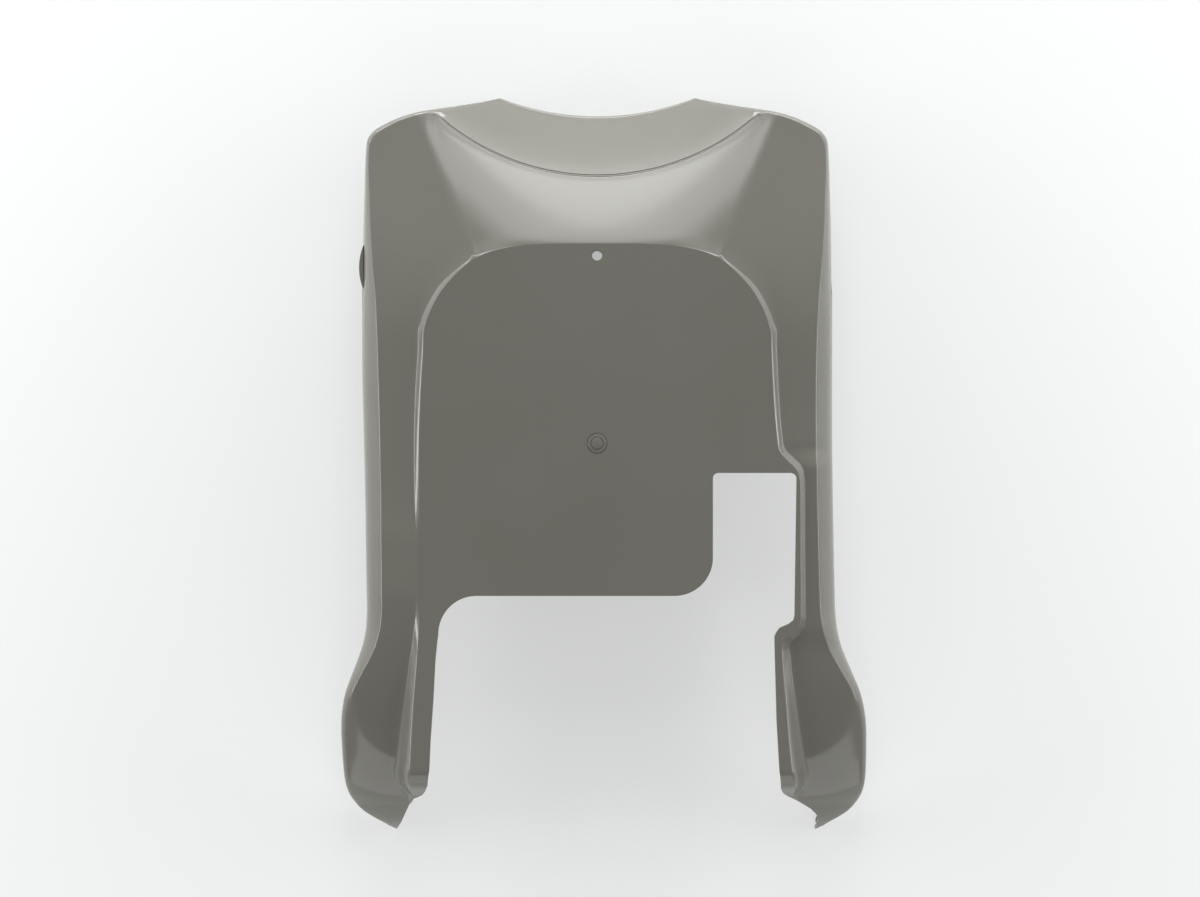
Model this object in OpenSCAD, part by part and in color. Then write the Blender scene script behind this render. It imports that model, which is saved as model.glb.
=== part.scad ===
// Belly pan of a motor scooter: one injection-moulded shell of even thickness.
// It lies on its rim with the painted outer face up.
// +Y is the scooter's front (wheel scoop), +X its left-hand edge in this pose, +Z up.

/* [Overall] */
// Length from the scoop peaks to the tail tips
overall_length = 600; // [570:5:630]
// Width over the flared rear lobes
overall_width = 422; // [400:2:440]
// Height of the flat bottom face over the lowest points of the rim
overall_height = 90; // [80:1:105]
// Width over the straight sides
body_width = 376; // [360:2:390]
// Wall thickness of the moulding
wall = 2.5; // [2:0.1:3.2]

/* [Raised bottom] */
// Half width of the raised flat bottom at the end of its front arch
bottom_half = 137; // [130:1:144]
// Distance of the front arch from the middle of the length
arch_front = 174; // [166:1:180]
// Height of the step round the bottom at the front corners
step_front = 8; // [5:0.5:10]
// Height of the step along the notch side
step_notch = 5.5; // [3:0.5:8]
// Height of the step at the ends of the two legs
step_leg = 20; // [14:1:26]
// Fall of the side rail from the step to its rounded edge
rail_fall = 5; // [3:0.5:8]
// Radius of the rounded outer edge of the sides
edge_radius = 26; // [20:1:30]
// Outward slope of the front shoulders
shoulder_slope = 0.19; // [0.12:0.01:0.26]

// Sideways lean of the two legs towards the notched side, at the rear lobes
leg_lean = 6.4; // [0:0.2:8]

/* [Rim] */
// Height of the side rim at the middle of the length
rim_side = 40; // [30:1:44]
// Height of the rim at the outer front corners
rim_corner = 30; // [22:1:34]
// Height of the front edge beside the scoop
shoulder_height = 54; // [48:1:60]

/* [Wheel scoop] */
// Radius of the upper edge of the scoop, seen from above
scoop_radius = 190; // [180:1:205]
// Distance of the upper edge from the middle of the length, on the centre line
scoop_back = 229; // [222:1:236]
// Height of the upper edge on the centre line
scoop_height = 63; // [56:1:70]
// Radius of the lower rim of the scoop, seen from above
scoop_rim_radius = 221; // [205:1:240]
// Half width between the two peaks of the lower rim
scoop_rim_half = 80; // [74:1:86]

/* [Rear opening and notch] */
// Distance of the rear edge of the bottom behind the middle of the length
rear_edge = 103.6; // [96:0.2:108]
// Radius of the two large corners of the rear opening
corner_radius = 30; // [22:1:36]
// Distance of the notch's front edge behind the middle of the length
notch_front = 7.2; // [4:0.2:14]
// Inner side of the notch, from the centre line
notch_inner = 90.8; // [84:0.2:96]
// Outer side of the notch, from the centre line
notch_outer = 156.6; // [152:0.5:158]
// Radius of the two front corners of the notch
notch_radius = 4; // [2:0.5:8]

/* [Holes and mark] */
// Diameter of the screw hole at the front arch
screw_diameter = 8; // [6:0.5:10]
// Distance of the screw hole from the middle of the length
screw_front = 163.4; // [156:0.2:166]
// Diameter of the round moulding mark
mark_diameter = 16; // [12:0.5:20]
// Depth of the moulding mark
mark_depth = 0.4; // [0.2:0.1:0.8]
// Diameter of the ear on the tail
ear_diameter = 10; // [8:0.5:13]
// Thickness of the ear
ear_thickness = 3; // [2.5:0.1:4]
// Diameter of the hole in the ear
ear_hole = 4.4; // [3:0.2:6]
// Length of the slots in the flanges beside the scoop
slot_length = 16; // [10:0.5:18]
// Width of these slots
slot_width = 4.5; // [3:0.5:6]

/* [Hidden] */
$fa = 6; $fs = 0.6;

half_l = overall_length / 2;
half_w = overall_width / 2 - leg_lean / 6;
half_b = body_width / 2;
H = overall_height;
ky = overall_length / 600;

// smooth curve through points [key, value] with rising keys
function seg(t, x, i = 0) = (i >= len(t) - 2 || x < t[i + 1][0]) ? i : seg(t, x, i + 1);
function rise(t, i) = (t[i + 1][1] - t[i][1]) / (t[i + 1][0] - t[i][0]);
function slope(t, i) = i <= 0 ? rise(t, 0) : i >= len(t) - 1 ? rise(t, i - 1)
    : let (a = rise(t, i - 1), b = rise(t, i)) a * b <= 0 ? 0 : 2 * a * b / (a + b);
function curve(t, x) =
    x <= t[0][0] ? t[0][1] : x >= t[len(t) - 1][0] ? t[len(t) - 1][1] :
    let (i = seg(t, x), h = t[i + 1][0] - t[i][0], u = (x - t[i][0]) / h,
         m0 = slope(t, i) * h, m1 = slope(t, i + 1) * h)
    (2 * u * u * u - 3 * u * u + 1) * t[i][1] + (u * u * u - 2 * u * u + u) * m0
    + (3 * u * u - 2 * u * u * u) * t[i + 1][1] + (u * u * u - u * u) * m1;
function mix(a, b, u) = a + (b - a) * u;
function unit(v) = let (n = norm(v)) n == 0 ? [0, 0, 1] : v / n;

// plan lines against y, without the lean of the legs: step line on the whole side and on the
// notched side, outer edge
step_whole = [[-300, 161], [-278, 156], [-262, 152.8], [-236, 151], [-185, 147.4],
              [-104, 140.8], [50, bottom_half + .4], [90, bottom_half - .8]];
step_notched = [[-300, 160], [-278, 154], [-262, 148.6], [-235, 144.9], [-190, 142.4],
                [-147, 140.6], [-141, 141.6], [-136, 145.2], [-131, 151.2], [-126, 156],
                [-119, 157.4], [-60, 158.6], [-15, 159.4], [-8, 158.2], [-3, 154.6], [3, 148],
                [9, 142.4], [15, 140.5], [50, bottom_half + .8], [90, bottom_half - .8]];
edge = [[-300, half_w - 37], [-297, half_w - 33], [-293.5, half_w - 28.6],
        [-287.3, half_w - 19.4], [-282.4, half_w - 12.8], [-276.5, half_w - 7.6],
        [-271, half_w - 4.4], [-265, half_w - 2.2], [-257, half_w - .7], [-246, half_w - .1],
        [-218, half_w], [-206, half_w - .5], [-190, half_w - 2.9], [-182, half_w - 4.9],
        [-166, half_w - 10.9], [-154.6, half_w - 15.3], [-142, half_b + 2.6],
        [-129, half_b + .3], [-112, half_b - .5], [-30, half_b - .5], [27, half_b - .1],
        [90, half_b + .5], [140, half_b + .5]];
// sideways lean of the legs towards the notched side
function lean(y) = y > 80 ? 0 : leg_lean * pow((80 - y) / 340, 1.3);
// heights against y: top of the step, its foot on either side, rounding of the edge, rim
tail = [[-300, 6.5], [-296, 16], [-290, 28], [-283, 38.5], [-275, 47.5], [-268, 54]];
step_top = concat(tail, [[-264, 60], [-260, 71], [-254, H - 8], [-248, H - 2], [-242, H],
                         [90, H]]);
foot_whole = concat(tail, [[-262, 58], [-250, H - step_leg - 5], [-234, H - step_leg],
    [-200, H - step_leg * .7], [-160, H - step_leg * .35], [-130, H - 2.5], [-98, H],
    [-60, H], [-38, H - 1], [0, H - step_front * .4], [50, H - step_front * .75],
    [90, H - step_front]]);
foot_notched = concat(tail, [[-262, 58], [-250, H - step_leg - 5], [-234, H - step_leg],
    [-195, H - step_leg * .68], [-160, H - step_leg * .45], [-130, H - step_notch - 1],
    [-10, H - step_notch], [20, H - step_front + 1], [90, H - step_front]]);
rounding = [[-300, 4], [-296, 6.5], [-290, 11], [-283, 16], [-275, 22], [-266, edge_radius],
            [90, edge_radius]];
rim = [[-300, 0], [-296, 3], [-290, 6], [-283, 9], [-275, 13], [-266, 18], [-258, 22],
       [-240, 28], [-208, 34], [-125, rim_side], [90, rim_side]];
// height of the step round the front arch, against the distance from the centre line
step_arch = [[60, 0], [75, .4], [85, 1.2], [94.5, 2.6], [104, 4.6], [112, 6.4],
             [120, step_front - .4], [128, step_front]];

function arch(x) = arch_front - 11.8 * pow(abs(x) / 94.5, 2.4);
function crease(x) = scoop_back + scoop_radius - sqrt(pow(scoop_radius, 2) - x * x);
function scoop_rim(x) = half_l + sqrt(pow(scoop_rim_radius, 2) - pow(scoop_rim_half, 2))
    - sqrt(pow(scoop_rim_radius, 2) - x * x);

// The shoulder falls outward from the ridge, a line that follows the step round the corner of
// the arch and then parts the shoulder from the base of the scoop: its x and its drop against y
ridge = [[104, bottom_half - 1], [116, bottom_half - 4.6], [126.5, bottom_half - 9.4],
         [133.5, bottom_half - 13.4], [139.7, bottom_half - 18], [145, bottom_half - 22.7],
         [150.3, bottom_half - 27.8], [155.2, bottom_half - 33], [159, bottom_half - 37.5],
         [162.5, 95], [290, 140.4]];
ridge_drop = [[126.5, step_front], [139.7, step_front - .6], [145, step_front - 1.2],
              [150.3, step_front - 2.2], [155.2, step_front - 3.4], [159, step_front - 4.4],
              [162.5, step_front - 5.4], [280, H - shoulder_height - 3.5], [290, H - shoulder_height - 1]];
// softened more the further a point lies from the corner of the arch
function shoulder(x, y) = let (reach = 4 + .7 * max(0, x - 97))
    H - [1, 2, 3, 4, 5, 4, 3, 2, 1] / 25 * [for (k = [-4:4]) let (v = y + reach * k / 4)
        lookup(v, ridge_drop) + shoulder_slope * (x - lookup(v, ridge))];

// A ray runs from the step line outward to the edge and down to the rim:
// [step point, edge point, step top, step foot, rail fall, edge rounding, width of it, rim point,
// share of the shoulder in the rail's height]
side_y = [-300, -296, -291, -286, -281, -276, -271, -266, -262, -258, -253, -248, -242, -235,
          -226, -216, -206, -196, -186, -176, -166, -156, -149, -144, -140, -136, -132, -128,
          -124, -118, -108, -95, -78, -60, -40, -20, -14, -9, -5, -1, 3, 7, 11, 16, 24, 35, 50,
          70, 90];
function side_rays(step, foot) = [for (y = side_y)
    let (share = pow(max(0, y - 20) / 84, 2), far = y + 36 * share,
         x = curve(step, y), e = curve(edge, far), r = curve(rounding, y))
    [[x, y * ky], [e, far * ky], curve(step_top, y), curve(foot, y),
     rail_fall * min(1, (y + 300) / 30), r, min(r * .92, (e - x) * .8),
     [e + .8, far * ky, curve(rim, y)], share]];
// rays round the front corner: step point, edge point, rounding, rim height
bend = [[bottom_half - 1, 104, half_b, 140, edge_radius, rim_side - 1],
        [bottom_half - 4.6, 116, half_b - .2, 185, edge_radius - 4, rim_side - 3],
        [bottom_half - 9.4, 126.5, half_b - .8, 222, 17, rim_corner + 2],
        [bottom_half - 13.4, 133.5, half_b - 1.6, 245, 11.5, rim_corner],
        [bottom_half - 18, 139.7, half_b - 2.8, 259, 9, rim_corner],
        [bottom_half - 22.7, 145, half_b - 8, 267, 7.5, rim_corner + 1],
        [bottom_half - 27.8, 150.3, half_b - 18.4, 273, 6.5, rim_corner + 4],
        [bottom_half - 33, 155.2, half_b - 32, 278.4, 5.5, rim_corner + 8],
        [bottom_half - 37.5, 159, half_b - 44, 281.4, 4.6, rim_corner + 12]];
bend_u = [0, .7, 1.4, 2, 2.6, 3.1, 3.6, 4, 4.4, 4.8, 5.2, 5.6, 6.1, 7, 8];
bend_rays = [for (u = bend_u)
    let (b = [for (c = [0:5]) curve([for (i = [0:8]) [i, bend[i][c]]], u)],
         out = max(0, min(1, (150 - b[1]) / 20)))
    [[b[0], b[1] * ky], [b[2], b[3] * ky], H, H - curve(step_arch, b[0]), rail_fall, b[4], b[4] * .92,
     [b[2] + .8 * out, b[3] * ky + .6 * (1 - out), b[5]], 1]];
// rays that share the end of the scoop's upper edge: the flange beside the scoop hangs on them
// step point x, edge point, rim point and its share of the edge's height
flange = [[96.8, 137.5, 282.4, 113, 287.6, .38]];
flange_rays = [for (f = flange) let (s = curve(step_arch, f[0]))
    [[f[0], arch(f[0])], [f[1], f[2] * ky], H, H - s, H - s - shoulder_height - 3.5, 3.5, 3.8,
     [f[3], f[4] * ky, shoulder_height * f[5]], 0]];
scoop_x = [94, 87, 79, 70, 61, 51, 41, 31, 21, 10];
scoop_half = 129.5;
function scoop_ray(x) = let (q = x / 94 * scoop_half, r = x / 94 * scoop_rim_half,
        z = mix(scoop_height, shoulder_height, pow(q / scoop_half, 2)), s = curve(step_arch, x))
    [[x, arch(x)], [q, crease(q) * ky], H, H - s, H - s - z - 3.5, 3.5, 3.8,
     [r, scoop_rim(r), 0], 0];

function mirrored(r) = [for (k = r) [[-k[0][0], k[0][1]], [-k[1][0], k[1][1]], k[2], k[3], k[4],
                                     k[5], k[6], [-k[7][0], k[7][1], k[7][2]], k[8]]];
function reversed(v) = [for (i = [len(v) - 1:-1:0]) v[i]];
front_rays = concat(bend_rays, flange_rays, [for (x = scoop_x) scoop_ray(x)]);
rays = concat(mirrored(concat(side_rays(step_whole, foot_whole), front_rays)), [scoop_ray(0)],
              reversed(concat(side_rays(step_notched, foot_notched), front_rays)));
n = len(rays);

// fall of the step wall: a fillet at its top, a straight face, a wider fillet at its foot
function wall_fall(u) = let (a = .4, b = .4, m = 1 / (1 - a / 2 - b / 2))
    u <= 0 ? 0 : u >= 1 ? 1 : u < a ? m * u * u / 2 / a
    : u < 1 - b ? m * (u - a / 2) : 1 - m * (1 - u) * (1 - u) / 2 / b;
function soft(u, e) = (sqrt(u * u + e * e) - e) / (sqrt(1 + e * e) - e);
// angle at which the rounding of the edge takes over the slope of the rail
function turned(slope, w, r, a = 0, n = 8) = n == 0 ? a :
    turned(slope, w, r, atan(slope * w / (1 - sin(a)) * cos(a) / r), n - 1);
rows = [0, .3, .55, .8, 1];
function line(i) = let (k = rays[i], a = rays[max(i - 1, 0)][0], b = rays[min(i + 1, n - 1)][0],
        p = k[0], v = k[1] - k[0], len = norm(v), r = v / len, t = unit(b - a),
        across = max(.35, abs(r[0] * t[1] - r[1] * t[0])),
        step = k[2] - k[3], flat = max(len - k[6], len * .2), w = min((3 + step * .6) / across, flat * .6),
        rail = function (d) let (z = k[3] - k[4] * soft(d / flat, 2.5 / len), s = p + r * d)
            k[8] == 0 ? z : mix(z, min(k[3], shoulder(abs(s[0]), s[1] / ky)), k[8]),
        turn = turned(rail(flat - .5) - rail(flat + .5), len - flat, k[5]),
        arc_w = (len - flat) / (1 - sin(turn)), arc_h = k[5] / cos(turn))
    concat(
        [for (u = rows) let (d = u * w)
            [p[0] + r[0] * d, p[1] + r[1] * d, (u == 0 ? k[3] : rail(d)) + step * (1 - wall_fall(u))]],
        [for (u = [.34, .68, 1]) let (d = mix(w, flat, u))
            [p[0] + r[0] * d, p[1] + r[1] * d, rail(d)]],
        [for (u = [1:3]) let (a = mix(turn, 90, u / 3), d = flat + arc_w * (sin(a) - sin(turn)))
            [p[0] + r[0] * d, p[1] + r[1] * d, rail(flat) - arc_h * (cos(turn) - cos(a))]],
        [k[7]]);
upright = [for (i = [0:n - 1]) line(i)];
all_x = [for (r = upright) for (v = r) v[0] + lean(v[1])];
mid_x = (max(all_x) + min(all_x)) / 2;
skin = [for (r = upright) [for (v = r) [v[0] + lean(v[1]) - mid_x, v[1], v[2]]]];
m = len(skin[0]);
function normal(i, j) = let (a = skin[min(i + 1, n - 1)][j] - skin[max(i - 1, 0)][j],
        b = skin[i][min(j + 1, m - 1)] - skin[i][max(j - 1, 0)])
    j == 0 ? (a[2] == 0 || a[1] == 0 ? [0, 0, 1] : unit([0, -a[2] / a[1], 1])) : unit(cross(a, b));
// the inner face lies one wall thickness within; the rim itself is cut level
inside = [for (i = [0:n - 1]) [for (j = [0:m - 1]) let (v = normal(i, j))
    skin[i][j] - wall * (j < m - 1 ? v : [v[0], v[1], 0] / max(.5, v[0] * v[0] + v[1] * v[1]))]];

function at(i, j) = i * m + j;
N = n * m;
h = (n - 1) / 2;
function quad(a, b, c, d) = [[a, b, c], [a, c, d]];
shell_faces = concat(
    [for (i = [0:n - 2]) for (j = [0:m - 2]) for (f = quad(at(i, j), at(i, j + 1), at(i + 1, j + 1), at(i + 1, j))) f],
    [for (i = [0:n - 2]) for (j = [0:m - 2]) for (f = quad(N + at(i, j), N + at(i + 1, j), N + at(i + 1, j + 1), N + at(i, j + 1))) f],
    [for (i = [0:n - 2]) for (f = quad(at(i, m - 1), N + at(i, m - 1), N + at(i + 1, m - 1), at(i + 1, m - 1))) f],
    [for (j = [0:m - 2]) for (f = quad(at(0, j), N + at(0, j), N + at(0, j + 1), at(0, j + 1))) f],
    [for (j = [0:m - 2]) for (f = quad(at(n - 1, j), at(n - 1, j + 1), N + at(n - 1, j + 1), N + at(n - 1, j))) f],
    [for (i = [0:h - 2]) for (f = quad(at(i, 0), at(i + 1, 0), at(n - 2 - i, 0), at(n - 1 - i, 0))) f],
    [for (i = [0:h - 2]) for (f = quad(N + at(i, 0), N + at(n - 1 - i, 0), N + at(n - 2 - i, 0), N + at(i + 1, 0))) f],
    [[at(h - 1, 0), at(h, 0), at(h + 1, 0)], [N + at(h - 1, 0), N + at(h + 1, 0), N + at(h, 0)]],
    quad(at(0, 0), at(n - 1, 0), N + at(n - 1, 0), N + at(0, 0)));

module shell() polyhedron(points = concat([for (r = skin) each r], [for (r = inside) each r]),
                          faces = shell_faces, convexity = 10);

// rear opening with the notch, seen from above
module opening() {
    y0 = -rear_edge;
    c = corner_radius;
    xl = -124.6;
    difference() {
        polygon([[xl, y0], [notch_inner, y0], [notch_inner, -notch_front],
                 [notch_outer, -notch_front], [notch_outer - 1.6, -119], [notch_outer - 2.4, -122.5],
                 [notch_outer - 6.3, -125.6], [notch_outer - 13.4, -128.7], [notch_outer - 15.7, -131.9],
                 [notch_outer - 17.3, -135], [notch_outer - 17.3, -140], [notch_outer - 15.7, -201 * ky],
                 [notch_outer - 13.4, -241 * ky], [notch_outer - 11.4, -256.4 * ky], [notch_outer - 8.6, -262 * ky],
                 [notch_outer - 4.8, -265 * ky], [notch_outer, -267.6 * ky], [172.4, -278.4 * ky],
                 [178, -284.5 * ky], [179.6, -291 * ky], [178, -305 * ky], [-164.5, -305 * ky],
                 [-164.5, -300 * ky], [-159.2, -291.4 * ky], [-155, -282.5 * ky],
                 [-149.6, -271.2 * ky], [-146.6, -267.6 * ky], [-142.1, -265.9 * ky],
                 [-138.8, -263.6 * ky], [-136.2, -259.6 * ky], [-133.5, -253.3 * ky],
                 [-131.6, -240 * ky], [-130.6, -217 * ky], [-128.4, -185 * ky], [-126.8, -154], [xl, -134]]);
        translate([xl, y0 - c]) difference() {
            translate([-1, 0]) square([c + 1, c + 1]);
            translate([c, 0]) circle(r = c);
        }
        for (s = [0, 1]) translate([s ? notch_outer - notch_radius : notch_inner + notch_radius, -notch_front - notch_radius])
            difference() {
                translate([s ? 0 : -notch_radius - 1, 0]) square(notch_radius + 1);
                circle(r = notch_radius);
            }
    }
    translate([notch_inner - c, y0]) difference() {
        translate([0, -1]) square([c + 1, c + 1]);
        translate([0, c]) circle(r = c);
    }
}

// axis of the ear on the tail of the notched side, and its middle
ear_tilt = [0, -46, -30];
ear_at = [183.2, -291.6 * ky, 12];

// slot across the flange beside the scoop, for a tongue of the panel in front
module flange_slot() translate([114, 286 * ky, shoulder_height * .58]) rotate([90, 0, 0])
    linear_extrude(16, center = true) rotate(45) {
        square([slot_length - slot_width, slot_width], center = true);
        for (s = [-1, 1]) translate([s * (slot_length - slot_width) / 2, 0]) circle(d = slot_width);
    }

// flat-backed pad that swells out of the side wall over its rim
module side_tab() translate([-half_b - 1, 157 * ky, rim_side - 2]) intersection() {
    translate([46, 0, 0]) cylinder(r = 47.8, h = 13);
    translate([-4, -15, 0]) cube([6, 30, 13]);
}

module belly_pan() color([0.42, 0.42, 0.39]) {
    difference() {
        union() {
            difference() {
                union() {
                    shell();
                    // boss under the screw hole
                    translate([-mid_x, screw_front, H - wall - 4])
                        cylinder(r = screw_diameter / 2 + 5, h = 5);
                }
                translate([-mid_x, 0, -10]) linear_extrude(H + 20) opening();
            }
            translate([-mid_x, 0, 0]) side_tab();
            // ear on the tail
            translate(ear_at - [mid_x, 0, 0]) rotate(ear_tilt)
                cylinder(d = ear_diameter, h = ear_thickness, center = true);
        }
        translate([-mid_x, screw_front, H - 12]) cylinder(d = screw_diameter, h = 24);
        translate([-mid_x, 16, H - mark_depth]) difference() {
            cylinder(d = mark_diameter, h = 4);
            translate([0, 0, -1]) cylinder(d = mark_diameter * .54, h = 1 + mark_depth * .6);
        }
        translate(ear_at - [mid_x, 0, 0]) rotate(ear_tilt)
            cylinder(d = ear_hole, h = ear_thickness + 1.4, center = true);
        translate([-mid_x, 0, 0]) flange_slot();
        translate([-mid_x, 0, 0]) mirror([1, 0, 0]) flange_slot();
    }
}

belly_pan();
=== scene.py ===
import bpy
import bmesh
from math import asin, cos, pi, radians, sin, sqrt
from mathutils import Matrix, Vector


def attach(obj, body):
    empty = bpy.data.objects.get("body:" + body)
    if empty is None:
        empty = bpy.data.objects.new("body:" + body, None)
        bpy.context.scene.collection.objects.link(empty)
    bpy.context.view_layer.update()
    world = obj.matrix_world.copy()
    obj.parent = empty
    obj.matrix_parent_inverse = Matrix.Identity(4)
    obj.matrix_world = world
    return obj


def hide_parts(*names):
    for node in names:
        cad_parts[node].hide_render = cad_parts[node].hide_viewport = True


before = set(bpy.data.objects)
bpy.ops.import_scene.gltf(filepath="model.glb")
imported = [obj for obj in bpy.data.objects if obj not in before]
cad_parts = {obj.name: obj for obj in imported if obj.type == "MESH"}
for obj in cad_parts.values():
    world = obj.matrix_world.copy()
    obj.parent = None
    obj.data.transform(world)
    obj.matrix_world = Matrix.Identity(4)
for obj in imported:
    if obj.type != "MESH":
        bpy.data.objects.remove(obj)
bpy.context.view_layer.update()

# Camera: it looks straight down on the painted face, 1.8 m above the flat bottom, with the
# front of the pan at the top of the picture.
camera_data = bpy.data.cameras.new("camera")
camera_data.sensor_fit = "HORIZONTAL"
camera_data.sensor_width = 36
camera_data.lens = 68.88
camera_data.clip_start = 0.05
camera = bpy.data.objects.new("camera", camera_data)
camera.location = (-0.0034, 0.012, 1.89)
bpy.context.scene.collection.objects.link(camera)
bpy.context.scene.camera = camera
bpy.context.scene.view_settings.view_transform = "Standard"


# Studio floor: matt white board under the pan, large enough for low views.
bpy.ops.object.select_all(action="DESELECT")
bpy.ops.mesh.primitive_plane_add(size=14, location=(0, 0, 0))
studio_floor = bpy.context.active_object
studio_floor.name = "studio_floor"
floor_board = bpy.data.materials.new("floor_board")
floor_board.use_nodes = True
board = floor_board.node_tree.nodes["Principled BSDF"]
board.inputs["Base Color"].default_value = (0.83, 0.84, 0.84, 1)
board.inputs["Roughness"].default_value = 0.6
board.inputs["Specular IOR Level"].default_value = 0.2
studio_floor.data.materials.append(floor_board)


class Signal:
    # what comes out of a shader node, so that sums on it are written as sums
    def __init__(self, tree, socket=None):
        self.tree, self.socket = tree, socket

    def node(self, kind, settings={}, values={}, output=0):
        # a new node in the same tree: its settings first, then its sockets' values or links
        made = self.tree.nodes.new(kind)
        for name, value in settings.items():
            setattr(made, name, value)
        for name, value in values.items():
            if isinstance(value, Signal):
                self.tree.links.new(value.socket, made.inputs[name])
            else:
                made.inputs[name].default_value = value
        return Signal(self.tree, made.outputs[output])

    def into(self, shader, name):
        self.tree.links.new(self.socket, shader.inputs[name])

    def math(self, operation, a, b):
        return self.node("ShaderNodeMath", {"operation": operation}, {0: a, 1: b})

    def __add__(self, other):
        return self.math("ADD", self, other)

    __radd__ = __add__

    def __sub__(self, other):
        return self.math("SUBTRACT", self, other)

    def __rsub__(self, other):
        return self.math("SUBTRACT", other, self)

    def __mul__(self, other):
        return self.math("MULTIPLY", self, other)

    __rmul__ = __mul__


# a camera sees the board half by its own pale colour, so that it keeps half of the shadow
board_tree = Signal(floor_board.node_tree)
seen_share = 0.5 * board_tree.node("ShaderNodeLightPath", output="Is Camera Ray")
own_colour = board_tree.node("ShaderNodeEmission", values={"Color": (0.88, 0.892, 0.885, 1)})
pale_board = board_tree.node("ShaderNodeMixShader", values={
    "Fac": seen_share, 1: Signal(floor_board.node_tree, board.outputs[0]), 2: own_colour})
pale_board.into(floor_board.node_tree.nodes["Material Output"], "Surface")

# Studio light: softboxes over the front, which the sloped front face reflects, a low white wall
# in front for the scoop, strips and panels at both sides for the steps and flanks, and a wall
# behind for the tails. The room gives an even fill.
ROOM_FILL = 0.2
ROOM_SEEN = 0.9
room = bpy.data.worlds.new("room")
bpy.context.scene.world = room
room.use_nodes = True
backdrop = room.node_tree.nodes["Background"]
backdrop.inputs["Color"].default_value = (1, 1, 1, 1)
seen_direct = Signal(room.node_tree).node("ShaderNodeLightPath", output="Is Camera Ray")
(ROOM_FILL + (ROOM_SEEN - ROOM_FILL) * seen_direct).into(backdrop, "Strength")


def softbox(name, place, aim, width, height, glow):
    # glow is the brightness of the box's face, where white board is 1
    data = bpy.data.lights.new(name, "AREA")
    data.shape = "RECTANGLE"
    data.size = width
    data.size_y = height
    data.energy = glow * pi * width * height
    box = bpy.data.objects.new(name, data)
    box.location = place
    box.rotation_euler = (Vector(aim) - Vector(place)).to_track_quat("-Z", "Y").to_euler()
    bpy.context.scene.collection.objects.link(box)


FRONT, FRONT_LOW = (0, 0.2, 0.05), (0, 0.22, 0.06)
softbox("front_softbox", (0, 2.0, 1.28), FRONT, 1.6, 1.45, 2.1)
softbox("front_column", (0, 1.95, 1.25), FRONT, 0.6, 1.35, 1.7)
softbox("front_lamp", (0, 1.8, 0.92), FRONT_LOW, 0.7, 0.45, 4.0)
softbox("front_wall", (0, 2.3, 0.3), FRONT, 4.0, 0.6, 11.0)
softbox("rear_wall", (0, -1.35, 0.6), (0, -0.2, 0.05), 2.6, 1.2, 1.5)
for name, side, strip_glow in [("left", -1, 9.0), ("right", 1, 8.5)]:
    rail = (0.15 * side, 0.0, 0.09)
    softbox(name + "_strip", (1.5 * side, 0.4, 0.48), rail, 1.7, 0.34, strip_glow)
    softbox(name + "_panel", (1.5 * side, 0.4, 0.98), rail, 1.7, 0.6, 0.9)


# The shell: the pan is one injection-moulded plastic shell, 2.5 mm thick and painted on its outer
# face. It is laid out as a fan of sections, each from the step round the flat bottom across the
# rail and the flank to the rim. Lengths are in millimetres here, and the mesh is in metres.
WALL = 2.5
BOTTOM = 90.0         # height of the flat bottom
HALF_WIDTH = 209.933  # over the lobes
HALF_BODY = 188.0     # over the straight sides
BOTTOM_HALF = 137.0   # half width of the flat bottom
MIDDLE = 5.66779      # the pan's own middle line lies this far to the whole side
LEG_LEAN = 6.4        # how far the lobes lean to the notched side
FRONT_END = 300       # front of the scoop's rim
STEP_FRONT, STEP_NOTCH, STEP_LEG = 3.2, 5.5, 20.0   # heights of the step round the bottom
RAIL_FALL = 8.0       # from the step's foot to the flank
SHOULDER, SCOOP_TOP = 54.0, 63.0      # lower edge of the front face, at its ends and middle
RIM_SIDE = 40.0       # height of the side's rim
ARCH_FRONT, ARCH_BEND, ARCH_HALF = 172.8, 11, 94.5  # front line of the flat bottom
SCOOP_BACK, SCOOP_RADIUS, SCOOP_HALF = 229, 190, 129.5
SCOOP_RIM_RADIUS, SCOOP_RIM_HALF = 221, 80
LEG_START, NOTCH_FRONT = -154, -7.2   # where the openings' edges leave the step


def along(points, x):
    # smooth line through points (key, value), with no overshoot between them
    if x <= points[0][0]:
        return points[0][1]
    if x >= points[-1][0]:
        return points[-1][1]
    i = max(k for k in range(len(points) - 1) if points[k][0] <= x)

    def rise(k):
        return (points[k + 1][1] - points[k][1]) / (points[k + 1][0] - points[k][0])

    def lean_at(k):
        if k <= 0:
            return rise(0)
        if k >= len(points) - 1:
            return rise(k - 1)
        a, b = rise(k - 1), rise(k)
        return 0 if a * b <= 0 else 2 * a * b / (a + b)

    h = points[i + 1][0] - points[i][0]
    u = (x - points[i][0]) / h
    return ((2 * u**3 - 3 * u**2 + 1) * points[i][1] + (u**3 - 2 * u**2 + u) * lean_at(i) * h
            + (3 * u**2 - 2 * u**3) * points[i + 1][1] + (u**3 - u**2) * lean_at(i + 1) * h)


def straight(points, x):
    # straight pieces between points (key, value)
    for (a, va), (b, vb) in zip(points, points[1:]):
        if x <= b:
            return va + (vb - va) * max(0, (x - a)) / (b - a)
    return points[-1][1]


def mix(a, b, u):
    return a + (b - a) * u


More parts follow.
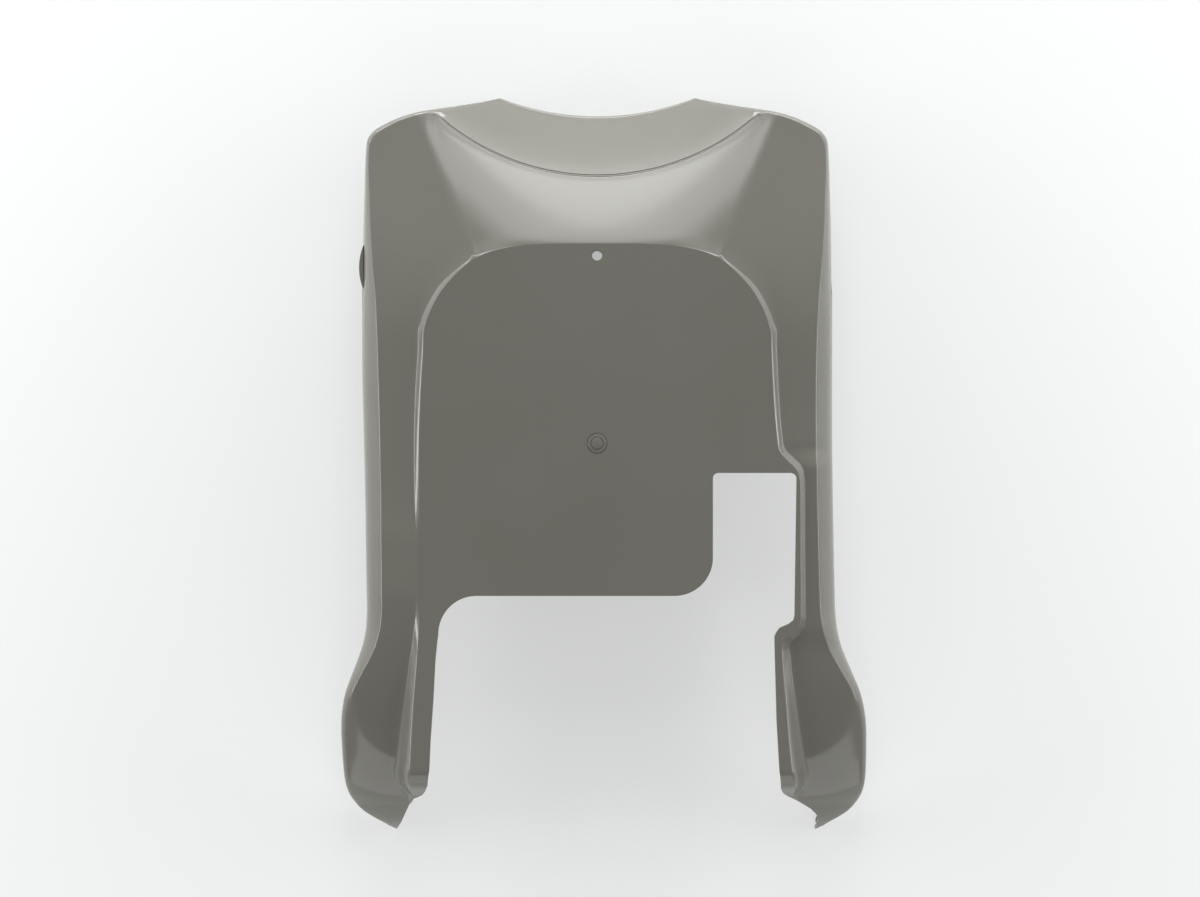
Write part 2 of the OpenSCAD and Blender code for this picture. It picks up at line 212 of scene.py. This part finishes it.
step_whole = [(-300, 161), (-278, 156), (-262, 152.8), (-236, 151), (-185, 147.4),
              (-104, 141.4), (10, BOTTOM_HALF + 3), (50, BOTTOM_HALF + 1.4),
              (90, BOTTOM_HALF - 1.2)]
step_notched = [(-300, 160), (-278, 154), (-262, 148.6), (-235, 144.9), (-190, 142.4),
                (-147, 140.6), (-141, 141.6), (-136, 145.2), (-131, 151.2), (-126, 155.2),
                (-119, 156.4), (-60, 157.3), (-15, 158), (-8, 157), (-3, 153.8), (3, 147.6),
                (9, 142.4), (15, 140.5), (50, BOTTOM_HALF + .8), (90, BOTTOM_HALF - .8)]
outer_edge = [(-300, HALF_WIDTH - 37), (-297, HALF_WIDTH - 33), (-293.5, HALF_WIDTH - 28.6),
              (-287.3, HALF_WIDTH - 19.4), (-282.4, HALF_WIDTH - 12.8), (-276.5, HALF_WIDTH - 7.6),
              (-271, HALF_WIDTH - 4.4), (-265, HALF_WIDTH - 2.2), (-257, HALF_WIDTH - .7),
              (-246, HALF_WIDTH - .1), (-218, HALF_WIDTH), (-206, HALF_WIDTH - .5),
              (-190, HALF_WIDTH - 2.9), (-182, HALF_WIDTH - 4.9), (-166, HALF_WIDTH - 10.9),
              (-154.6, HALF_WIDTH - 15.3), (-142, HALF_BODY + 2.6), (-129, HALF_BODY + .3),
              (-112, HALF_BODY - .5), (-30, HALF_BODY - .5), (27, HALF_BODY - .1),
              (90, HALF_BODY + .5), (140, HALF_BODY + .5)]
tail = [(-300, 6.5), (-296, 17.5), (-290, 29.5), (-283, 39.5), (-277, 46.2), (-271, 52)]
ledge_height = tail + [(-267, 57), (-263, 64), (-259, 73), (-254, BOTTOM - 7.5),
                       (-248, BOTTOM - 2), (-242, BOTTOM), (90, BOTTOM)]
tail_foot = [(-265, 56.6), (-258, 60.8), (-250, 64.6), (-242, 67.6), (-234, BOTTOM - STEP_LEG)]
foot_whole = tail + tail_foot + [
    (-200, BOTTOM - STEP_LEG * .7), (-160, BOTTOM - STEP_LEG * .35), (-130, BOTTOM - 2.5),
    (-98, BOTTOM), (-60, BOTTOM), (-38, BOTTOM - 1.4), (0, BOTTOM - 2.5), (50, BOTTOM - 3.1),
    (90, BOTTOM - STEP_FRONT)]
foot_notched = tail + tail_foot + [
    (-195, BOTTOM - STEP_LEG * .68), (-160, BOTTOM - STEP_LEG * .45),
    (-130, BOTTOM - STEP_NOTCH - 1), (-10, BOTTOM - STEP_NOTCH), (20, BOTTOM - STEP_FRONT),
    (90, BOTTOM - STEP_FRONT)]
fall_whole = [(-300, 0), (-270, 5), (-130, 6), (-60, 7), (90, 8)]
fall_notched = [(-300, 0), (-270, 5), (-150, 5), (-128, 1.5), (-5, 1.5), (14, 7), (90, 8)]
# the step's wall is steeper along the notch: share of its usual width
notch_squeeze = [(-150, 1), (-132, .62), (-10, .62), (8, 1)]
# the side turns down sharply at this distance from its edge, into a steep flank
flank_width = [(-300, 1.8), (-290, 3.5), (-275, 5), (-190, 6), (-178, 7), (-138, 13), (-110, 15),
               (90, 16)]
flank_tilt = [(-300, 20), (-190, 34), (-178, 38), (-138, 44), (90, 44)]
rim_height = [(-300, .25), (-296, 3), (-290, 6), (-283, 9), (-275, 13), (-266, 18), (-258, 22),
              (-240, 28), (-208, 34), (-125, RIM_SIDE), (90, RIM_SIDE)]
arch_step = [(60, 0), (75, .2), (85, .5), (94.5, .9), (104, 1.3), (112, 2),
             (120, STEP_FRONT - .4), (128, STEP_FRONT)]
# outer corner, from the straight side round to the flange beside the scoop: step point, edge
# point, rounding of the edge, rim height
corner_fan = [(136, 104, HALF_BODY, 140, 26, 39),
              (132.4, 116, HALF_BODY - .2, 185, 22, 37),
              (127.6, 126.5, HALF_BODY - .8, 222, 17, 34),
              (123.6, 133.5, HALF_BODY - 1.6, 245, 11.5, 32),
              (119, 139.7, HALF_BODY - 2.8, 259, 9, 32),
              (114.3, 145, HALF_BODY - 8, 267, 7.5, 33),
              (109.2, 150.3, HALF_BODY - 18.4, 273, 6.5, 36),
              (104, 155.2, HALF_BODY - 32, 278.4, 5.5, 40),
              (99.5, 159, HALF_BODY - 44, 281.4, 4.6, 44)]
# the shoulder falls outward from this line, which follows the step and then the ridge between
# the shoulder and the scoop's base: (y, x) and (y, height)
ridge = [(104, 136), (116, 132.4), (126.5, 127.6), (133.5, 123.6), (139.7, 119), (145, 114.3),
         (150.3, 109.2), (155.2, 104), (159, 99.5), (162.5, 95), (290, 140.4)]
ridge_height = [(126.5, 86.8), (133.5, 87), (139.7, 87.3), (145, 87.8), (150.3, 88.2),
                (155.2, 88.7), (159, 88.9), (162.5, 89.1), (290, 55)]
SHOULDER_SLOPE = .19
# edges of the rear opening against y, on the whole side and on the notched side
cut_whole = [(-300, 164.5), (-291.4, 159.2), (-282.5, 155), (-271.2, 149.6), (-267.6, 146.6),
             (-265.9, 142.1), (-263.6, 138.8), (-259.6, 136.2), (-253.3, 133.5), (-240, 131.6),
             (-217, 130.6), (-185, 128.4), (-154, 126.8), (-134, 124.6)]
cut_notched = [(-300, 178.4), (-291, 179.4), (-284.5, 177.8), (-278.4, 172.2), (-267.6, 156.4),
               (-265, 151.6), (-262, 147.8), (-256.4, 145), (-241, 143), (-201, 140.7),
               (-140, 139.1), (-135, 139.1), (-131.9, 140.7), (-128.7, 143), (-125.6, 150.1),
               (-122.5, 154), (-119, 154.8), (-11.2, 156.4), (-10, 156.2), (-8.6, 155.2),
               (-7.6, 153.8), (-7.2, 152.4)]


def lean(y):
    # the two legs lean towards the notched side
    return 0 if y > 80 else LEG_LEAN * ((80 - y) / 340) ** 1.3


def arch(x):
    return ARCH_FRONT - ARCH_BEND * (abs(x) / ARCH_HALF) ** 4.2


def scoop_top(x):
    # crisp edge between the front face and the scoop's wall
    return SCOOP_BACK + SCOOP_RADIUS - sqrt(SCOOP_RADIUS**2 - x * x)


def scoop_rim(x):
    # lower rim of the scoop's wall, whose two tips reach furthest forward
    tips = sqrt(SCOOP_RIM_RADIUS**2 - SCOOP_RIM_HALF**2)
    return FRONT_END + tips - sqrt(SCOOP_RIM_RADIUS**2 - x * x)


def shoulder(x, y):
    # height of the shoulder, softened more the further it lies from the arch's corner
    reach = 4 + .7 * max(0, x - 97)
    total = 0
    for k in range(-4, 5):
        v = y + reach * k / 4
        outward = x - straight(ridge, v)
        total += (5 - abs(k)) * (straight(ridge_height, v) - SHOULDER_SLOPE * outward)
    return total / 25


def side_sections(step, foot, fall, cut, cut_from, side):
    # sections across a side, from the tail forward, closest where the form turns fast; behind
    # cut_from they begin at the rear opening's edge or the notch's
    stations = [-300 + 1.25 * k for k in range(40)] + [-250 + 2.5 * k for k in range(37)]
    stations += [-157.5 + k for k in range(50)] + [-107 + 3 * k for k in range(29)]
    stations += [-20 + .8 * k for k in range(50)] + [20 + 3 * k for k in range(28)] + [103]
    stations = sorted(set([y for y in stations if abs(y - cut_from) > .3] + [cut_from]))
    made = []
    for y in stations:
        fan = max(0, (y - 20) / 84) ** 2
        far = y + 36 * fan
        inner, outer = along(step, y), along(outer_edge, far)
        start = -3.0
        if y <= cut_from:
            start = straight(cut, y) - side * lean(y) - inner
        made.append(dict(step=(inner, y), edge=(outer, far), top=along(ledge_height, y),
                         foot=along(foot, y), shoulder=fan, start=start, scoop=False,
                         fall=along(fall, y), flank=along(flank_width, y),
                         squeeze=1 if side < 0 else straight(notch_squeeze, y),
                         tilt=along(flank_tilt, y), rim=(outer + .8, far, along(rim_height, y))))
    return made


def front_sections():
    # round the outer corner to the flange, then across the sloped front face to its middle
    made = []
    for k in range(1, 49):
        step_x, step_y, edge_x, edge_y, rounding, rim_z = [
            along([(i, corner[c]) for i, corner in enumerate(corner_fan)], k / 6)
            for c in range(6)]
        side = max(0, min(1, (150 - step_y) / 20))
        made.append(dict(step=(step_x, step_y), edge=(edge_x, edge_y), top=BOTTOM,
                         foot=BOTTOM - along(arch_step, step_x), shoulder=1, start=-3.0,
                         scoop=False, fall=RAIL_FALL, flank=rounding * .6, tilt=44,
                         rim=(edge_x + .8 * side, edge_y + .6 * (1 - side), rim_z)))
    s = along(arch_step, 96.8)
    made.append(dict(step=(96.8, arch(96.8)), edge=(137.5, 282.4), top=BOTTOM, foot=BOTTOM - s,
                     shoulder=0, start=-3.0, scoop=False, fall=BOTTOM - s - SHOULDER - 2,
                     flank=1.6, tilt=40, rim=(113, 287.6, SHOULDER * .38)))
    for x in [94 - 94 / 28 * k for k in range(29)]:
        q, r, s = x / 94 * SCOOP_HALF, x / 94 * SCOOP_RIM_HALF, along(arch_step, x)
        z = mix(SCOOP_TOP, SHOULDER, (q / SCOOP_HALF) ** 2)
        made.append(dict(step=(x, arch(x)), edge=(q, scoop_top(q)), top=BOTTOM, foot=BOTTOM - s,
                         shoulder=0, start=-3.0, scoop=True, fall=BOTTOM - s - z - .5,
                         flank=1.0, tilt=40, rim=(r, scoop_rim(r), 0)))
    return made


def fall_of_step(u, fillet):
    # fillet at the top, straight face, fillet at the foot
    slope = 1 / (1 - fillet)
    if u <= 0 or u >= 1:
        return 0 if u <= 0 else 1
    if u < fillet:
        return slope * u * u / 2 / fillet
    if u < 1 - fillet:
        return slope * (u - fillet / 2)
    return 1 - slope * (1 - u) ** 2 / 2 / fillet


# where the rows of points lie along a section: on the ledge before the step, down the step, along
# the rail, round the crease into the flank, and down to the rim; and the scoop's groove and lip
LEDGE = [0, .35, .7, 1]
CREASE = [-1.5, -.9, -.4, 0, .6]
CREASE_ROUND = .8
CRISP_EDGE = [(.5, .05), (.8, .18), (1.0, .42)]
GROOVE_DEPTH = 1.75
GROOVE = [(.25, 1.2), (.55, GROOVE_DEPTH), (.9, GROOVE_DEPTH), (1.3, GROOVE_DEPTH)]
LIP = 1.6
STEP_ROWS = [k / 12 for k in range(1, 13)]
RAIL_ROWS = [k / 9 for k in range(1, 10)]
SKIRT_ROWS = [.25, .5, .75, .9, 1]


def profile(section, before, after):
    # points of one section, from its start to the rim: p on the step, q on the edge, r the way
    # from one to the other, t the way along the step
    p, q = Vector(section["step"]), Vector(section["edge"])
    span = (q - p).length
    r = (q - p) / span
    t = (Vector(after["step"]) - Vector(before["step"])).normalized()
    across = max(.35, abs(r.x * t.y - r.y * t.x))
    step = section["top"] - section["foot"]
    flat = max(span - section["flank"], span * .2)
    wide = min((3.4 + step * .6) * section.get("squeeze", 1) / across, flat * .6)
    if section["shoulder"] == 1 or section["scoop"]:
        wide = min(wide, 1.5 * step + .3)
    fillet = .14 + .26 * min(1, max(0, (step - 7) / 6))
    soft = (1.0 if section["scoop"] else 2.5) / span
    first_tilt, last_tilt = radians(section["tilt"]), radians(88)
    big = (span - flat) / (sin(last_tilt) - sin(first_tilt))

    def eased(u):
        return (sqrt(u * u + soft * soft) - soft) / (sqrt(1 + soft * soft) - soft)

    def rail(d):
        u = d / flat
        fall = mix(eased(u), u * u, .1) if section["scoop"] else eased(u)
        level = section["foot"] - section["fall"] * fall
        # the lobes fall faster behind a soft crease that bends forward towards the edge
        level -= .12 * max(0, -240 + 20 * u + 40 * u**4 - p.y) * min(1, (p.y + 300) / 25)
        if section["shoulder"] > 0:
            v = p + r * d
            level = mix(level, min(shoulder(v.x, v.y), section["foot"]), section["shoulder"])
        return level

    def tilt_at(d):
        return asin(min(sin(last_tilt), sin(first_tilt) + max(0, d - flat) / big))

    def raw(d):
        if d <= flat:
            return rail(max(0, d))
        return rail(flat) - big * (cos(first_tilt) - cos(tilt_at(d)))

    def height(d):
        if d <= 0:
            return section["top"]
        # the turn into the flank is rounded over about a millimetre
        level = (raw(d - CREASE_ROUND) + 2 * raw(d) + raw(min(span, d + CREASE_ROUND))) / 4
        return mix(section["top"], level, fall_of_step(d / wide, fillet))

    start = section["start"]
    near = [start + (-.8 - start) * u for u in LEDGE] + [0]
    near += [wide * u for u in STEP_ROWS]
    stop = flat + (0 if section["scoop"] else CREASE[0])
    if section["scoop"]:
        # one row close to the scoop's crisp edge keeps the base's shading straight up to it
        near += [mix(wide, stop - .5, u * 9 / 8) for u in RAIL_ROWS[:-1]] + [stop]
    else:
        near += [mix(wide, stop, u) for u in RAIL_ROWS]
    if start > -2.5:
        # the opening's edge lies on the rail here, so that the rows shift out beyond it
        reach = max(stop, start + (span - start) * .3)
        near = [mix(start, reach, (d + 4) / (stop + 4)) for d in [-4, -3, -2, -.8, 0] + near[5:]]
    line = [(p + r * d, height(d)) for d in near]
    rim = Vector(section["rim"][:2])
    if section["scoop"]:
        # a crisp edge with a fine groove under it, then the wheel scoop's wall, which steepens
        # towards its lip
        top = raw(flat)
        way = (rim - q).normalized()
        for d, drop in CRISP_EDGE:
            line.append((p + r * (flat + d), top - drop))
        for d, drop in GROOVE:
            line.append((q + way * d, top - drop))
        begin, high = q + way * GROOVE[-1][0], top - GROOVE_DEPTH
        lip = rim - way * LIP
        for k in range(1, 12):
            u = k / 11
            line.append((begin.lerp(lip, u), mix(high, WALL + 1.1, .87 * u + .13 * u * u)))
        line.append((lip + way * LIP / 2, WALL + .55))
        line.append((rim, WALL + .3))
        return line
    last = near[-1]
    if last <= stop + .01:
        for d in [flat + c for c in CREASE[1:5]]:
            line.append((p + r * d, height(d)))
        last = flat + CREASE[4]
        count = 11
    else:
        count = 15
    a0 = tilt_at(last)
    if last < flat:
        a0 = first_tilt
    for k in range(1, count + 1):
        a = mix(a0, last_tilt, k / count)
        d = min(span, max(last, flat + big * (sin(a) - sin(first_tilt))))
        line.append((p + r * d, raw(d)))
    end, low = line[-1]
    for u in SKIRT_ROWS:
        line.append((end.lerp(rim, u), mix(low, section["rim"][2], u)))
    return line


def placed(sections, side):
    # the profiles of one side's sections, put in their place on the pan
    lines = []
    for i, section in enumerate(sections):
        line = profile(section, sections[max(i - 1, 0)], sections[min(i + 1, len(sections) - 1)])
        lines.append([Vector((side * p.x + lean(p.y) - MIDDLE, p.y, z)) for p, z in line])
    return lines


left = side_sections(step_whole, foot_whole, fall_whole, cut_whole, LEG_START, -1)
left += front_sections()
right = side_sections(step_notched, foot_notched, fall_notched, cut_notched, NOTCH_FRONT, 1)
right += front_sections()[:-1]
sheet = placed(left, -1) + placed(right, 1)[::-1]
across_count, down_count = len(sheet), len(sheet[0])

bpy.ops.object.select_all(action="DESELECT")
bpy.ops.mesh.primitive_grid_add(x_subdivisions=across_count - 1, y_subdivisions=down_count - 1,
                                size=1, location=(0, 0, 0))
shell = bpy.context.active_object
shell.name = "moulded_shell"
spot = {}
for v in shell.data.vertices:
    i = round((v.co.x + .5) * (across_count - 1))
    j = round((v.co.y + .5) * (down_count - 1))
    spot[i, j] = v.index
    v.co = sheet[i][j] / 1000

# the flat bottom closes the fan inside the step, up to the rear opening and the notch
REAR_EDGE, LEG_INNER = -103.6, -94.6
NOTCH_INNER, NOTCH_OUTER, NOTCH_RADIUS, OPENING_RADIUS = 90.8, 148.4, 4, 30


def rounded_corner(x, y, radius, turn, step):
    # quarter of a circle about (x, y), from one of the opening's edges to the next, where turn
    # gives the way out at an angle
    return [(x + radius * turn(radians(a))[0], y + radius * turn(radians(a))[1])
            for a in range(0, 91, step)]


first = next(i for i, s in enumerate(left) if s["step"][1] >= LEG_START)
last = across_count - 1 - next(i for i, s in enumerate(right) if s["step"][1] >= NOTCH_FRONT)
opening_edge = [(NOTCH_OUTER, NOTCH_FRONT), (120, NOTCH_FRONT)]
opening_edge += rounded_corner(NOTCH_INNER + NOTCH_RADIUS, NOTCH_FRONT - NOTCH_RADIUS,
                               NOTCH_RADIUS, lambda a: (-sin(a), cos(a)), 15)
opening_edge += [(NOTCH_INNER, -40)]
opening_edge += rounded_corner(NOTCH_INNER - OPENING_RADIUS, REAR_EDGE + OPENING_RADIUS,
                               OPENING_RADIUS, lambda a: (cos(a), -sin(a)), 5)
opening_edge += [(0, REAR_EDGE), (-50, REAR_EDGE)]
opening_edge += rounded_corner(LEG_INNER, REAR_EDGE - OPENING_RADIUS,
                               OPENING_RADIUS, lambda a: (-sin(a), cos(a)), 5)
opening_edge += [(-125.4, -140)]
plate = bmesh.new()
plate.from_mesh(shell.data)
plate.verts.ensure_lookup_table()
ring = [plate.verts[spot[i, 0]] for i in range(first, last + 1)]
ring += [plate.verts.new(((x - MIDDLE) / 1000, y / 1000, BOTTOM / 1000)) for x, y in opening_edge]
plate.faces.new(ring)
bmesh.ops.recalc_face_normals(plate, faces=plate.faces[:])
plate.faces.ensure_lookup_table()
if plate.faces[-1].normal.z < 0:
    bmesh.ops.reverse_faces(plate, faces=plate.faces[:])
plate.to_mesh(shell.data)
plate.free()

wall = shell.modifiers.new("wall", "SOLIDIFY")
wall.thickness = WALL / 1000
wall.offset = -1
wall.use_even_offset = True
wall.use_quality_normals = True
wall.material_offset = 1
bpy.context.view_layer.objects.active = shell
bpy.ops.object.modifier_apply(modifier="wall")


def soften(piece, width, segments, from_angle):
    # rounds the edges that turn by more than from_angle, in degrees
    edges = piece.modifiers.new("edges", "BEVEL")
    edges.width = width
    edges.segments = segments
    edges.limit_method = "ANGLE"
    edges.angle_limit = radians(from_angle)
    bpy.context.view_layer.objects.active = piece
    bpy.ops.object.modifier_apply(modifier="edges")


def combine(operation, tool):
    # takes the tool's shape away from the shell, or melts it in, and throws the tool away
    join = shell.modifiers.new("join", "BOOLEAN")
    join.operation = operation
    join.object = tool
    join.solver = "EXACT"
    bpy.context.view_layer.objects.active = shell
    bpy.ops.object.modifier_apply(modifier="join")
    bpy.data.objects.remove(tool)


def round_bar(radius, depth, place, turn=(0, 0, 0), vertices=48):
    # a short cylinder, sizes in millimetres
    bpy.ops.object.select_all(action="DESELECT")
    bpy.ops.mesh.primitive_cylinder_add(vertices=vertices, radius=radius / 1000,
                                        depth=depth / 1000, rotation=turn,
                                        location=[c / 1000 for c in place])
    return bpy.context.active_object


soften(shell, 0.0005, 2, 55)

# boss under the screw hole, and the hole through both
SCREW_FRONT, SCREW_RADIUS, BOSS_RADIUS, BOSS_DEPTH = 163.4, 4, 9, 5
combine("UNION", round_bar(BOSS_RADIUS, BOSS_DEPTH, (-MIDDLE, SCREW_FRONT, 86), vertices=64))
combine("DIFFERENCE", round_bar(SCREW_RADIUS, 30, (-MIDDLE, SCREW_FRONT, 85), vertices=48))

# slots in the flanges beside the scoop: a bar drawn out to a long round-ended tool
SLOT_RADIUS, SLOT_DEPTH, SLOT_STRETCH, SLOT_TURN = 2.25, 16, 11.5, 45
SLOT_SIDE, SLOT_FRONT, SLOT_HEIGHT = 114, 286, 31.3
for side in (-1, 1):
    slot = round_bar(SLOT_RADIUS, SLOT_DEPTH, (0, 0, 0), vertices=24)
    for v in slot.data.vertices:
        if v.co.x > 0:
            v.co.x += SLOT_STRETCH / 1000
    slot.data.transform(Matrix.Translation((-SLOT_STRETCH / 2000, 0, 0)))
    slot.rotation_euler = (radians(90), radians(-SLOT_TURN * side), 0)
    slot.location = [c / 1000 for c in (SLOT_SIDE * side - MIDDLE, SLOT_FRONT, SLOT_HEIGHT)]
    combine("DIFFERENCE", slot)

# flat-backed pad that swells out of the side wall over its rim: the outer slice of a thick disc
PAD_RADIUS, PAD_THICKNESS, PAD_BACK, PAD_HALF = 47.8, 13, -44.2, 18
pad_place = (-HALF_BODY + 45 - MIDDLE, 157, 44.5)
pad = round_bar(PAD_RADIUS, PAD_THICKNESS, pad_place, vertices=160)
for v in pad.data.vertices:
    if v.co.x > PAD_BACK / 1000:
        v.co.x = PAD_BACK / 1000
        v.co.y = max(-PAD_HALF / 1000, min(PAD_HALF / 1000, v.co.y))
bpy.ops.object.mode_set(mode="EDIT")
bpy.ops.mesh.select_all(action="SELECT")
bpy.ops.mesh.remove_doubles(threshold=0.0001)
bpy.ops.object.mode_set(mode="OBJECT")
soften(pad, 0.006, 5, 40)
combine("UNION", pad)

# ear with its screw hole on the tail of the notched side
EAR_RADIUS, EAR_THICKNESS, EAR_HOLE_RADIUS = 5, 3, 2.2
ear_axis = Vector((-0.622967, 0.35967, 0.694658))
ear_turn = ear_axis.to_track_quat("Z", "Y").to_euler()
ear_place = (177.532, -291.6, 12)
ear = round_bar(EAR_RADIUS, EAR_THICKNESS, ear_place, ear_turn)
soften(ear, 0.0005, 2, 30)
combine("UNION", ear)
combine("DIFFERENCE", round_bar(EAR_HOLE_RADIUS, 4.4, ear_place, ear_turn, vertices=32))

# round moulding mark in the middle of the bottom: two fine rings, each a shallow round recess
# filled again by a slightly smaller disc with a rounded edge
MARK_FRONT, RING_WIDTH = 16, .6
for ring_radius in (8.1, 5.1):
    combine("DIFFERENCE", round_bar(ring_radius, 4, (-MIDDLE, MARK_FRONT, BOTTOM + 1.55),
                                    vertices=64))
    disc = round_bar(ring_radius - RING_WIDTH, 1, (-MIDDLE, MARK_FRONT, BOTTOM - .52), vertices=64)
    soften(disc, 0.0003, 3, 30)
    combine("UNION", disc)

# the cuts leave a few flat slivers behind: points that coincide are merged, and patches of a few
# faces that hang on the shell by nothing, or by a doubled edge, are deleted
bpy.ops.object.select_all(action="DESELECT")
shell.select_set(True)
bpy.context.view_layer.objects.active = shell
skin = bmesh.new()
skin.from_mesh(shell.data)
bmesh.ops.remove_doubles(skin, verts=skin.verts[:], dist=0.00002)
bmesh.ops.dissolve_degenerate(skin, edges=skin.edges[:], dist=0.00001)
SLIVER_FACES = 100
unseen, loose = set(skin.faces), []
while unseen:
    patch, queue = [], [unseen.pop()]
    while queue:
        face = queue.pop()
        patch.append(face)
        for edge in [e for e in face.edges if len(e.link_faces) == 2]:
            for other in edge.link_faces:
                if other in unseen:
                    unseen.remove(other)
                    queue.append(other)
    if len(patch) < SLIVER_FACES:
        loose += patch
bmesh.ops.delete(skin, geom=loose, context="FACES")
skin.to_mesh(shell.data)
skin.free()
bpy.ops.object.shade_smooth_by_angle(angle=radians(38))
# large level faces stay flat, so that no shading runs across them from their far edges
for face in shell.data.polygons:
    if abs(face.normal.z) > .99999 and face.area > 1e-4:
        face.use_smooth = False


def new_finish(name):
    # an empty finish, its shader, and the place on the piece that its patterns read
    finish = bpy.data.materials.new(name)
    finish.use_nodes = True
    tree = finish.node_tree
    place = Signal(tree).node("ShaderNodeTexCoord", output="Object")
    return finish, tree.nodes["Principled BSDF"], place


def noise(place, scale, detail, roughness):
    return place.node("ShaderNodeTexNoise", values={
        "Vector": place, "Scale": scale, "Detail": detail, "Roughness": roughness})


def blend(share, first, second):
    # a colour between two, by share
    return share.node("ShaderNodeMix", {"data_type": "RGBA"},
                      {"Factor": share, "A": first, "B": second}, output="Result")


def bumps(height, strength):
    return height.node("ShaderNodeBump", values={
        "Height": height, "Strength": strength, "Distance": 0.0002})


# glossy warm grey paint: a slow drift of tone and gloss, a haze in the gloss, and the fine
# orange peel of a sprayed coat
paint, coat, place = new_finish("warm_grey_paint")
drift = noise(place, 7.0, 2.0, 0.5)
peel = noise(place, 420.0, 1.0, 0.4)
haze = noise(place, 38.0, 3.0, 0.6)
grey = blend(drift * 1.6 - 0.3, (0.136, 0.1325, 0.113, 1), (0.149, 0.147, 0.128, 1))
grey.into(coat, "Base Color")
(0.12 + 0.05 * drift + 0.03 * haze).into(coat, "Roughness")
bumps(peel, 0.08).into(coat, "Normal")
shell.data.materials.append(paint)

# bare plastic of the unseen side: black-grey, with the dull fine grain of the mould
plastic, bare, place = new_finish("bare_plastic")
grain = noise(place, 900.0, 2.0, 0.6)
flow = noise(place, 11.0, 3.0, 0.5)
black_grey = blend(flow * 1.4 - 0.2, (0.026, 0.026, 0.025, 1), (0.036, 0.036, 0.034, 1))
black_grey.into(bare, "Base Color")
(0.46 + 0.1 * flow + 0.06 * grain).into(bare, "Roughness")
bumps(grain, 0.2).into(bare, "Normal")
shell.data.materials.append(plastic)
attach(shell, "root")
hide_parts("belly_pan")
